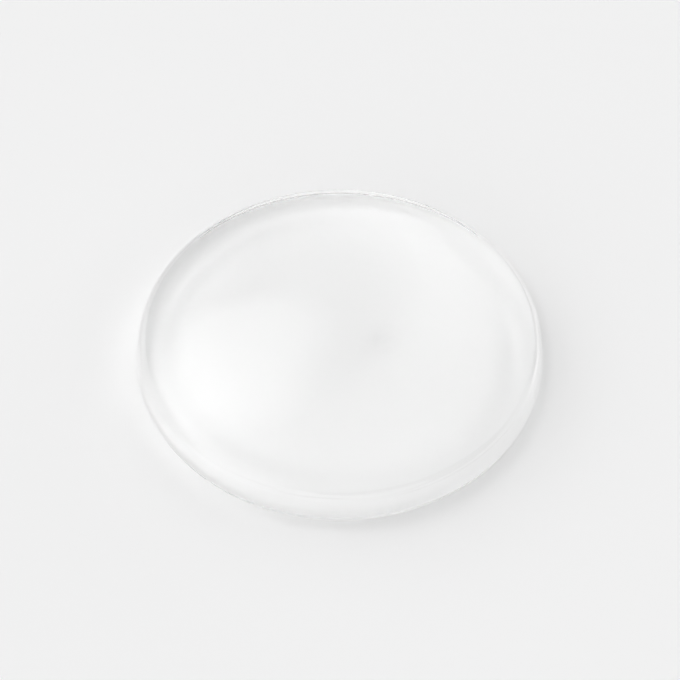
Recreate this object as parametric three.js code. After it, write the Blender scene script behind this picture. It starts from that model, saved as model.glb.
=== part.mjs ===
// A clear self-adhesive bumper for cabinet doors and drawer fronts. It is a low, round pad of soft
// polyurethane, cast as one piece, on a thin disc of clear pressure-sensitive adhesive.
// Millimetres, +Z up. The origin is the centre of the adhesive face, and +Z is the axis of
// symmetry, out through the crown.

import * as THREE from 'three';

// Driving dimensions
const DIAMETER = 10;
const OVERALL_HEIGHT = 1.5;
const ADHESIVE_THICKNESS = 0.15;
// The adhesive's cut edge lies this far inside the foot of the pad.
const ADHESIVE_SETBACK = 0.05;
// The side wall stands on the foot round and leans in by the draft that lets the pad leave its mould.
const WALL_HEIGHT = 0.4;
const WALL_DRAFT = THREE.MathUtils.degToRad(5);
const FOOT_RADIUS = 0.06;
const SHOULDER_RADIUS = 0.3;

// Fineness of the curves
const SEGMENTS = 72;
const FOOT_STEPS = 3;
const SHOULDER_STEPS = 9;
const CROWN_STEPS = 20;

// Finishes
const clearPolyurethane = new THREE.MeshStandardMaterial({
  color: 0xf2f5f6,
  roughness: 0.06,
  metalness: 0,
  transparent: true,
  opacity: 0.3,
});
const clearAdhesive = new THREE.MeshStandardMaterial({
  color: 0xeef1f1,
  roughness: 0.25,
  metalness: 0,
  transparent: true,
  opacity: 0.35,
});

// Points of an arc about (x, y), from one angle to another, both ends included.
function arc(x, y, radius, from, to, steps) {
  return Array.from({ length: steps + 1 }, (_, step) => {
    const angle = from + ((to - from) * step) / steps;
    return new THREE.Vector2(x + radius * Math.cos(angle), y + radius * Math.sin(angle));
  });
}

// Turns a profile, given as (radius, height), about the axis and stands that axis up along +Z.
function revolve(profile) {
  return new THREE.LatheGeometry(profile, SEGMENTS).rotateX(Math.PI / 2);
}

// The pad: a flat underside, a small round at the foot, a drafted side wall, a round shoulder and a
// crown that is part of a sphere. Each arc is tangent to what it joins.
function bumperDome() {
  const radius = DIAMETER / 2;
  const underside = ADHESIVE_THICKNESS;

  // Foot round: from straight down, through the widest point, to the direction the drafted wall faces.
  const footX = radius - FOOT_RADIUS;
  const footY = underside + FOOT_RADIUS;
  const foot = [
    ...arc(footX, footY, FOOT_RADIUS, -Math.PI / 2, 0, FOOT_STEPS),
    ...arc(footX, footY, FOOT_RADIUS, 0, WALL_DRAFT, 1).slice(1),
  ];
  const wallStart = foot[foot.length - 1];

  // Top of the wall, and from it the shoulder's centre, square to the wall and inside it.
  const wallTop = new THREE.Vector2(
    wallStart.x - WALL_HEIGHT * Math.tan(WALL_DRAFT),
    wallStart.y + WALL_HEIGHT,
  );
  const shoulderX = wallTop.x - SHOULDER_RADIUS * Math.cos(WALL_DRAFT);
  const shoulderY = wallTop.y - SHOULDER_RADIUS * Math.sin(WALL_DRAFT);

  // The crown's sphere is centred on the axis, passes through the top and holds the shoulder's
  // circle inside it, touching: the distance between the two centres is crown minus shoulder.
  const drop = OVERALL_HEIGHT - shoulderY;
  const crownRadius = (shoulderX ** 2 + drop ** 2 - SHOULDER_RADIUS ** 2) / (2 * (drop - SHOULDER_RADIUS));
  const crownY = OVERALL_HEIGHT - crownRadius;
  const joinAngle = Math.atan2(shoulderY - crownY, shoulderX);

  const shoulder = arc(shoulderX, shoulderY, SHOULDER_RADIUS, WALL_DRAFT, joinAngle, SHOULDER_STEPS);
  const crown = arc(0, crownY, crownRadius, joinAngle, Math.PI / 2, CROWN_STEPS).slice(1, -1);
  return revolve([
    new THREE.Vector2(0, underside),
    ...foot,
    ...shoulder,
    ...crown,
    new THREE.Vector2(0, OVERALL_HEIGHT),
  ]);
}

// The adhesive: a flat disc, cut square, with its top face on the underside of the pad.
function adhesiveDisc() {
  const radius = DIAMETER / 2 - ADHESIVE_SETBACK;
  return revolve([
    new THREE.Vector2(0, 0),
    new THREE.Vector2(radius, 0),
    new THREE.Vector2(radius, ADHESIVE_THICKNESS),
    new THREE.Vector2(0, ADHESIVE_THICKNESS),
  ]);
}

function part(name, geometry, material) {
  const mesh = new THREE.Mesh(geometry, material);
  mesh.name = name;
  return mesh;
}

const bumper = new THREE.Group();
bumper.add(part('bumper_dome', bumperDome(), clearPolyurethane));
bumper.add(part('adhesive_disc', adhesiveDisc(), clearAdhesive));

export default bumper;
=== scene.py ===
"""The looks of a clear self-adhesive bumper for cabinet doors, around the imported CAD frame.

The bumper is a low round pad of water-clear polyurethane on a thin disc of clear adhesive. It lies
stuck down on a white surface, so what shows is the white floor seen through the pad, the light
that the pad bends and mirrors, and the shade and the bright line that it throws round itself.
Lengths are in metres.
"""

import math

import bpy
import numpy as np
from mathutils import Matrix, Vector


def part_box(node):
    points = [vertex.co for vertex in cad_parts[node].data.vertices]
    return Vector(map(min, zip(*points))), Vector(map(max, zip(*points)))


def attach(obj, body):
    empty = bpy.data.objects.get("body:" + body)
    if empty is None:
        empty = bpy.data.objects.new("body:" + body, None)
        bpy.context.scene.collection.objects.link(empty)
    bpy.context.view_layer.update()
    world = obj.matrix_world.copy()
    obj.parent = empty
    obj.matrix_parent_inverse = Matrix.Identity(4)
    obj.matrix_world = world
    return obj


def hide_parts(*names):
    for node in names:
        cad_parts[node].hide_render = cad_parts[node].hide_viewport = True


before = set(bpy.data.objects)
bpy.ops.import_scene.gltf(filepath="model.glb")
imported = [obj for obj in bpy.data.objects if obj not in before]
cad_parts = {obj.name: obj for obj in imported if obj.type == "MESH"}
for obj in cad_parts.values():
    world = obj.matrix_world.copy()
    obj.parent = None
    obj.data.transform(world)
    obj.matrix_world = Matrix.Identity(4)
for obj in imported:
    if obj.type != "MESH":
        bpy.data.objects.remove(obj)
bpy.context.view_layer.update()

MM = 0.001
UM = 0.000001

# ---- Shapes --------------------------------------------------------------------------------------

dome_low, dome_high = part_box("bumper_dome")
tape_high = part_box("adhesive_disc")[1]
PAD_RADIUS = dome_high.x
PAD_FOOT = dome_low.z
PAD_TOP = dome_high.z
TAPE_RADIUS = tape_high.x
TAPE_TOP = tape_high.z

# The pad's profile, as the CAD has it
FOOT_ROUND = 0.06 * MM
WALL_HEIGHT = 0.4 * MM
WALL_DRAFT = math.radians(5)
SHOULDER_ROUND = 0.3 * MM

# The casting is a little out of round, with these numbers of waves around, and its crown rises and
# falls with waves of these lengths.
RUNOUT = 4 * UM
RUNOUT_WAVES = (2, 3, 5)
CROWN_WAVE = 2.5 * UM
CROWN_LENGTHS = (9 * MM, 5 * MM, 3.4 * MM, 2.1 * MM)

# The adhesive is cut inside the pad's flat foot, with these numbers of waves around.
CUT_SETBACK = 20 * UM
CUT_WAVE = 3 * UM
CUT_WAVES = (3, 7, 13, 22)

# The floor comes up this far into the adhesive, which stands for the way the adhesive wets it.
BOND_DEPTH = 0.01 * MM
FLOOR_SIZE = 2.0

# Fineness. A facet round the rim is under a pixel and a half, or the foot shows as a row of specks.
AROUND = 900
FOOT_STEPS = 8
WALL_STEPS = 4
SHOULDER_STEPS = 20
CROWN_STEPS = 44
UNDERSIDE_STEPS = 4
SHARP_CORNER = math.radians(40)

# A face counts as part of the underside within this height of it, and as flat from this share of
# its normal that points straight up or down.
UNDERSIDE_SLACK = 0.1 * UM
FLAT_NORMAL = 0.999

# ---- Finishes ------------------------------------------------------------------------------------

# Most of a noise lies between these levels.
NOISE_LOW = 0.3
NOISE_HIGH = 0.7

PAD_TINT = (0.998, 0.999, 0.998, 1)
PAD_IOR = 1.49
PAD_ROUGHNESS = (0.0, 0.035)
GLOSS_PATCH = 1.6 * MM
SKIN_GRAIN = 0.22 * MM
SKIN_RELIEF = 0.15 * UM

EDGE_TINT = (0.97, 0.975, 0.97, 1)
EDGE_IOR = 1.48
EDGE_ROUGHNESS = (0.25, 0.45)
BLADE_DRAG = 0.7 * MM

# What one crossing of the bond takes of the light: its cloud, and a smudge beside the pad's middle,
# full as far out as its core and gone at its reach
CLOUD_SHADE = 0.0015
CLOUD_PATCH = 2.4 * MM
SMUDGE_SHADE = 0.045
SMUDGE_PLACE = (1.0 * MM, 0.1 * MM, TAPE_TOP)
SMUDGE_CORE = 0.1 * MM
SMUDGE_REACH = 0.55 * MM
SMUDGE_GRAIN = 0.25 * MM
# A finer noise breaks the smudge up: it thins to this share of itself below the lower of these
# levels of the noise, and is whole above the upper.
SMUDGE_THINNEST = 0.4
SMUDGE_BREAK = (0.4, 0.6)

# The floor's white, and a whiter tone painted on it under the adhesive: painted light that
# brightens the floor seen through the pad.
FLOOR_WHITE = 0.91
FLOOR_PAINTED_LIGHT_UNDER_PAD = 0.993

# ---- Light and camera ----------------------------------------------------------------------------

# The light is a dim dome with soft lamps, and dark flags between them, all far away. The dome goes
# from one level at the horizon to another overhead, with a band that fades out a little way up.
SKY_HORIZON = 1.30
SKY_ZENITH = 0.11
SKY_BAND = -0.59
BAND_TOP = 0.32
# Azimuth from +X towards +Y, elevation, the angles from the middle at which the lamp is full and
# gone, and its strength, which is negative for a flag.
SOFT_LAMPS = (
    (113, 54, 3, 16, 2.30),
    (149, 62, 12, 25, 1.00),
    (156, 21, 17, 29, 0.52),
    (152, 31, 6, 37, 0.30),
    (125, 35, 21, 34, 0.63),
    (73, 37, 6, 27, 1.52),
    (36, -15, 18, 39, 2.60),
    (75, -9, 11, 23, 2.26),
    (252, 53, 3, 16, 1.50),
    (232, -4, 16, 52, 1.58),
    (322, 56, 22, 39, -1.60),
    (107, 43, 13, 26, -1.60),
    (107, -15, 16, 30, -1.10),
    (328, -15, 21, 41, -1.59),
    (37, 70, 2, 25, 1.21),
    (297, 50, 11, 25, 2.17),
    (330, 17, 15, 27, 0.78),
    (47, 17, 10, 23, -1.42),
    (223, 54, 16, 32, 1.13),
    (235, 33, 11, 35, -1.13),
)
# The plain wall that the camera itself sees past the floor
WALL_TINT = (0.86, 0.86, 0.86, 1)

CAMERA_ELEVATION = 51
CAMERA_LENS = 200
# The pad's share of the picture's width
PAD_SHARE = 0.6

# Light is followed through this many faces of the pad, and through this many bonded faces.
BOUNCES = 24
BOND_CROSSINGS = 48


# ---- Making the surfaces -------------------------------------------------------------------------


def waves(x, y, lengths, seed):
    """A smooth uneven surface of about unit height over x and y: a sum of cosines, one for each
    wave length given, each running in a direction and from a phase that the seed picks."""
    rng = np.random.default_rng(seed)
    total = np.zeros(np.broadcast(x, y).shape)
    for length in lengths:
        heading, phase = rng.uniform(0, 2 * math.pi, 2)
        across = x * math.cos(heading) + y * math.sin(heading)
        total += np.cos(2 * math.pi * across / length + phase)
    return total / len(lengths)


def round_waves(angle, counts, seed):
    """An uneven ring of about unit height: a sum of cosines with whole numbers of waves around."""
    rng = np.random.default_rng(seed)
    total = np.zeros_like(angle)
    for count in counts:
        total += np.cos(count * angle + rng.uniform(0, 2 * math.pi))
    return total / len(counts)


def cut_edge(angle):
    """Radius of the adhesive's cut edge: the CAD's radius, less the setback and a fine wave."""
    return TAPE_RADIUS - CUT_SETBACK - CUT_WAVE * (1 + round_waves(angle, CUT_WAVES, seed=4))


def disc_grid():
    """Angles all the way round, as a row, and shares of the way from the axis out to an edge, as a
    column."""
    angle = np.linspace(0, 2 * math.pi, AROUND, endpoint=False)[None, :]
    out = np.linspace(0, 1, UNDERSIDE_STEPS + 1)[1:, None]
    return angle, out


def arc(centre_r, centre_z, radius, start, end, steps):
    """Points of an arc in the (radius, height) plane, both ends included."""
    a = np.linspace(start, end, steps + 1)
    return centre_r + radius * np.cos(a), centre_z + radius * np.sin(a)


def closed_turning(name, x, y, z, low_pole, high_pole):
    """A closed skin from rings of points: row i of the arrays x, y and z is one ring, and the first
    and last rings close onto the poles, which are points on the axis. The order of the rings runs
    from the low pole out and up to the high pole, so the faces point outwards."""
    rings, around = x.shape
    points = np.stack([x, y, z], axis=-1).reshape(-1, 3)
    points = np.vstack([points, [low_pole], [high_pole]])
    here = np.arange(around)
    after = (here + 1) % around
    row = (np.arange(rings - 1) * around)[:, None]
    corners = [row + here, row + after, row + around + after, row + around + here]
    bands = np.stack(corners, axis=-1).reshape(-1, 4)
    last = (rings - 1) * around
    low, high = rings * around, rings * around + 1
    under = np.stack([after, here, np.full(around, low)], axis=-1)
    over = np.stack([last + here, last + after, np.full(around, high)], axis=-1)
    mesh = bpy.data.meshes.new(name)
    mesh.from_pydata(points.tolist(), [], bands.tolist() + under.tolist() + over.tolist())
    mesh.update()
    mesh.shade_smooth()
    mesh.set_sharp_from_angle(angle=SHARP_CORNER)
    piece = bpy.data.objects.new(name, mesh)
    bpy.context.scene.collection.objects.link(piece)
    return piece


def of_faces(piece, what):
    """A vector of each face, such as its centre, as one row each."""
    values = np.zeros(len(piece.data.polygons) * 3)
    piece.data.polygons.foreach_get(what, values)
    return values.reshape(-1, 3)


def pad_profile():
    """Radius and height along the pad's side and top, from the foot's underside to near the top:
    the foot round, the wall leaning in by its draft, the shoulder round and the crown, which is
    part of a sphere. Each is tangent to the next."""
    foot_r, foot_z = PAD_RADIUS - FOOT_ROUND, PAD_FOOT + FOOT_ROUND
    foot = arc(foot_r, foot_z, FOOT_ROUND, -math.pi / 2, WALL_DRAFT, FOOT_STEPS)
    top_r = foot[0][-1] - WALL_HEIGHT * math.tan(WALL_DRAFT)
    top_z = foot[1][-1] + WALL_HEIGHT
    wall_r = np.linspace(foot[0][-1], top_r, WALL_STEPS + 1)
    wall_z = np.linspace(foot[1][-1], top_z, WALL_STEPS + 1)
    shoulder_r = top_r - SHOULDER_ROUND * math.cos(WALL_DRAFT)
    shoulder_z = top_z - SHOULDER_ROUND * math.sin(WALL_DRAFT)
    # The crown's sphere passes through the top and holds the shoulder's circle inside it, touching.
    drop = PAD_TOP - shoulder_z
    crown_round = (shoulder_r**2 + drop**2 - SHOULDER_ROUND**2) / (2 * (drop - SHOULDER_ROUND))
    crown_z = PAD_TOP - crown_round
    join = math.atan2(shoulder_z - crown_z, shoulder_r)
    shoulder = arc(shoulder_r, shoulder_z, SHOULDER_ROUND, WALL_DRAFT, join, SHOULDER_STEPS)
    crown = arc(0, crown_z, crown_round, join, math.pi / 2, CROWN_STEPS)
    r = np.concatenate([foot[0], wall_r[1:], shoulder[0][1:], crown[0][1:-1]])
    z = np.concatenate([foot[1], wall_z[1:], shoulder[1][1:], crown[1][1:-1]])
    return r, z


def cast_pad():
    """The pad: its profile turned about the axis. The rings are a little out of round, and the
    crown rises and falls by a few micrometres, as a soft casting does when it cures."""
    angle, out = disc_grid()
    side_r, side_z = (v[:, None] for v in pad_profile())
    # The underside runs out to the adhesive's cut edge, and from there bare to the foot.
    runout = RUNOUT * (round_waves(angle, RUNOUT_WAVES, seed=11) - 1)
    r = np.vstack([out * cut_edge(angle), side_r + runout])
    z = np.vstack([np.full((UNDERSIDE_STEPS, AROUND), PAD_FOOT), side_z + np.zeros_like(angle)])
    x, y = r * np.cos(angle), r * np.sin(angle)
    on_top = np.clip((z - PAD_FOOT - WALL_HEIGHT) / (PAD_TOP - PAD_FOOT - WALL_HEIGHT), 0, 1)
    z = z + CROWN_WAVE * on_top * (waves(x, y, CROWN_LENGTHS, seed=23) - 1)
    piece = closed_turning("cast_pad", x, y, z, (0, 0, PAD_FOOT), (0, 0, float(z[-1].mean())))
    # Faces of the underside inside the cut edge are stuck to the adhesive.
    centre_x, centre_y, centre_z = of_faces(piece, "center").T
    inside = np.hypot(centre_x, centre_y) < cut_edge(np.arctan2(centre_y, centre_x))
    stuck = (centre_z < PAD_FOOT + UNDERSIDE_SLACK) & inside
    piece.data.polygons.foreach_set("material_index", stuck.astype(np.int32))
    return piece


def cut_tape():
    """The adhesive: a flat disc, its edge square to its faces and following the cut. The top and
    bottom faces are stuck, and only the edge shows."""
    angle, out = disc_grid()
    r = np.vstack([out, out[::-1]]) * cut_edge(angle)
    z = np.vstack([np.zeros_like(out), np.full_like(out, TAPE_TOP)]) + np.zeros_like(angle)
    x, y = r * np.cos(angle), r * np.sin(angle)
    piece = closed_turning("cut_tape", x, y, z, (0, 0, 0), (0, 0, TAPE_TOP))
    stuck = np.abs(of_faces(piece, "normal")[:, 2]) > FLAT_NORMAL
    piece.data.polygons.foreach_set("material_index", stuck.astype(np.int32))
    return piece


# ---- Making the finishes -------------------------------------------------------------------------


def node_material(name):
    """A new material with its node tree emptied down to the output."""
    material = bpy.data.materials.new(name)
    material.use_nodes = True
    tree = material.node_tree
    tree.nodes.clear()
    return material, tree, tree.nodes.new("ShaderNodeOutputMaterial")


def noise(tree, feature, detail=2.0):
    """Noise on Object coordinates with features of about the given size."""
    place = tree.nodes.new("ShaderNodeTexCoord")
    node = tree.nodes.new("ShaderNodeTexNoise")
    node.inputs["Scale"].default_value = 1 / feature
    node.inputs["Detail"].default_value = detail
    tree.links.new(place.outputs["Object"], node.inputs["Vector"])
    return node.outputs["Fac"]


def spread(tree, socket, low, high, from_low=NOISE_LOW, from_high=NOISE_HIGH, soft=False):
    """A value carried from one range to another and held at its ends. The way between them is
    straight, or eases in and out if it is to be soft."""
    node = tree.nodes.new("ShaderNodeMapRange")
    if soft:
        node.interpolation_type = "SMOOTHSTEP"
    node.inputs["From Min"].default_value = from_low
    node.inputs["From Max"].default_value = from_high
    node.inputs["To Min"].default_value = low
    node.inputs["To Max"].default_value = high
    tree.links.new(socket, node.inputs["Value"])
    return node.outputs["Result"]


def reckoned(tree, operation, *terms):
    """What a sum in a Math node comes to. Each term is a number or a socket."""
    node = tree.nodes.new("ShaderNodeMath")
    node.operation = operation
    for term, socket in zip(terms, node.inputs):
        if isinstance(term, bpy.types.NodeSocket):
            tree.links.new(term, socket)
        else:
            socket.default_value = term
    return node.outputs["Value"]


def measured(tree, place, operation, socket):
    """A distance or a dot product between a fixed vector and one from a socket."""
    node = tree.nodes.new("ShaderNodeVectorMath")
    node.operation = operation
    node.inputs[1].default_value = place
    tree.links.new(socket, node.inputs[0])
    return node.outputs["Value"]


def far_from(tree, place):
    """Distance from a place in Object coordinates."""
    here = tree.nodes.new("ShaderNodeTexCoord")
    return measured(tree, place, "DISTANCE", here.outputs["Object"])


def clear_shader(tree, output, tint, ior, roughness):
    """A clear glassy shader, wired to the output, with its roughness from a socket."""
    shader = tree.nodes.new("ShaderNodeBsdfPrincipled")
    shader.inputs["Base Color"].default_value = tint
    shader.inputs["Transmission Weight"].default_value = 1
    shader.inputs["IOR"].default_value = ior
    tree.links.new(roughness, shader.inputs["Roughness"])
    tree.links.new(shader.outputs["BSDF"], output.inputs["Surface"])
    return shader


def clear_polyurethane():
    """Water-clear casting: glassy, with faint smudges in its gloss and a very fine skin."""
    material, tree, output = node_material("clear_polyurethane")
    gloss = spread(tree, noise(tree, GLOSS_PATCH, detail=4), *PAD_ROUGHNESS)
    shader = clear_shader(tree, output, PAD_TINT, PAD_IOR, gloss)
    skin = tree.nodes.new("ShaderNodeBump")
    skin.inputs["Strength"].default_value = 1
    skin.inputs["Distance"].default_value = SKIN_RELIEF
    tree.links.new(noise(tree, SKIN_GRAIN), skin.inputs["Height"])
    tree.links.new(skin.outputs["Normal"], shader.inputs["Normal"])
    return material


def cut_adhesive():
    """The adhesive's cut edge: clear, and dull from the blade, more in some places than others."""
    material, tree, output = node_material("clear_adhesive")
    drag = spread(tree, noise(tree, BLADE_DRAG), *EDGE_ROUGHNESS)
    clear_shader(tree, output, EDGE_TINT, EDGE_IOR, drag)
    return material


def bonded():
    """A face wetted by what it is stuck to. Light crosses it unbent. A faint cloud in the bond
    takes a little of it, and a smudge beside the middle, broken up by a finer noise, takes more."""
    material, tree, output = node_material("bonded_face")
    cloud = spread(tree, noise(tree, CLOUD_PATCH, detail=3), CLOUD_SHADE, 0)
    near = spread(tree, far_from(tree, SMUDGE_PLACE), SMUDGE_SHADE, 0, SMUDGE_CORE, SMUDGE_REACH)
    broken = spread(tree, noise(tree, SMUDGE_GRAIN), SMUDGE_THINNEST, 1, *SMUDGE_BREAK)
    shade = reckoned(tree, "MULTIPLY_ADD", near, broken, cloud)
    shader = tree.nodes.new("ShaderNodeBsdfTransparent")
    tree.links.new(reckoned(tree, "SUBTRACT", 1, shade), shader.inputs["Color"])
    tree.links.new(shader.outputs["BSDF"], output.inputs["Surface"])
    return material


def white_floor():
    """Smooth matt white, painted whiter under the adhesive: painted light that brightens the floor
    seen through the pad.
    """
    material, tree, output = node_material("white_floor")
    far = far_from(tree, (0, 0, 0))
    # Inside the adhesive's cut edge the floor is painted whiter: painted light under the pad.
    white = spread(tree, far, FLOOR_PAINTED_LIGHT_UNDER_PAD, FLOOR_WHITE, TAPE_RADIUS - CUT_SETBACK, TAPE_RADIUS)
    shader = tree.nodes.new("ShaderNodeBsdfDiffuse")
    tree.links.new(white, shader.inputs["Color"])
    tree.links.new(shader.outputs["BSDF"], output.inputs["Surface"])
    return material


# ---- Making the light and the camera -------------------------------------------------------------


def direction(azimuth, elevation):
    """Unit vector towards a place in the sky, from degrees."""
    a, e = math.radians(azimuth), math.radians(elevation)
    return Vector((math.cos(e) * math.cos(a), math.cos(e) * math.sin(a), math.sin(e)))


def studio_sky():
    """The world: paler towards the horizon, dim overhead, with soft lamps and flags. The camera
    itself sees a plain pale wall."""
    world = bpy.data.worlds.new("studio")
    bpy.context.scene.world = world
    world.use_nodes = True
    tree = world.node_tree
    tree.nodes.clear()
    place = tree.nodes.new("ShaderNodeTexCoord")
    height = tree.nodes.new("ShaderNodeSeparateXYZ")
    tree.links.new(place.outputs["Generated"], height.inputs["Vector"])
    dome = spread(tree, height.outputs["Z"], SKY_HORIZON, SKY_ZENITH, 0, 1)
    level = reckoned(tree, "ADD", dome, spread(tree, height.outputs["Z"], SKY_BAND, 0, 0, BAND_TOP))
    for azimuth, elevation, full, gone, strength in SOFT_LAMPS:
        towards = direction(azimuth, elevation)
        near = measured(tree, towards, "DOT_PRODUCT", place.outputs["Generated"])
        start, end = math.cos(math.radians(gone)), math.cos(math.radians(full))
        lamp = spread(tree, near, 0, strength, start, end, soft=True)
        level = reckoned(tree, "ADD", level, lamp)
    light = tree.nodes.new("ShaderNodeBackground")
    light.inputs["Color"].default_value = (1, 1, 1, 1)
    tree.links.new(reckoned(tree, "MAXIMUM", level, 0), light.inputs["Strength"])
    wall = tree.nodes.new("ShaderNodeBackground")
    wall.inputs["Color"].default_value = WALL_TINT
    path = tree.nodes.new("ShaderNodeLightPath")
    seen = tree.nodes.new("ShaderNodeMixShader")
    output = tree.nodes.new("ShaderNodeOutputWorld")
    tree.links.new(path.outputs["Is Camera Ray"], seen.inputs["Fac"])
    tree.links.new(light.outputs["Background"], seen.inputs[1])
    tree.links.new(wall.outputs["Background"], seen.inputs[2])
    tree.links.new(seen.outputs["Shader"], output.inputs["Surface"])


def place_camera():
    """The camera: at its elevation in front of the pad, so far off that the pad has its share of
    the picture's width."""
    camera = bpy.data.cameras.new("camera")
    camera.lens = CAMERA_LENS
    seen_width = 2 * PAD_RADIUS / PAD_SHARE
    distance = seen_width * CAMERA_LENS / camera.sensor_width
    camera.clip_start = distance / 10
    piece = bpy.data.objects.new("camera", camera)
    bpy.context.scene.collection.objects.link(piece)
    back = direction(-90, CAMERA_ELEVATION)
    piece.location = Vector((0, 0, PAD_TOP / 2)) + back * distance
    piece.rotation_euler = (-back).to_track_quat("-Z", "Y").to_euler()
    bpy.context.scene.camera = piece


# ---- The bumper on its floor ---------------------------------------------------------------------

pad = cast_pad()
tape = cut_tape()
wetted = bonded()
for piece, finish, node, slot in (
    (pad, clear_polyurethane(), "bumper_dome", "clear_polyurethane"),
    (tape, cut_adhesive(), "adhesive_disc", "clear_adhesive"),
):
    piece.data.materials.append(finish)
    piece.data.materials.append(wetted)
    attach(piece, "root")
    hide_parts(node)

bpy.ops.mesh.primitive_plane_add(size=FLOOR_SIZE, location=(0, 0, BOND_DEPTH))
floor = bpy.context.object
floor.name = "floor"
floor.data.materials.append(white_floor())

studio_sky()
place_camera()

scene = bpy.context.scene
scene.view_settings.view_transform = "Standard"
scene.cycles.sample_clamp_indirect = 0
scene.cycles.blur_glossy = 0
scene.cycles.max_bounces = BOUNCES
scene.cycles.transmission_bounces = BOUNCES
scene.cycles.transparent_max_bounces = BOND_CROSSINGS
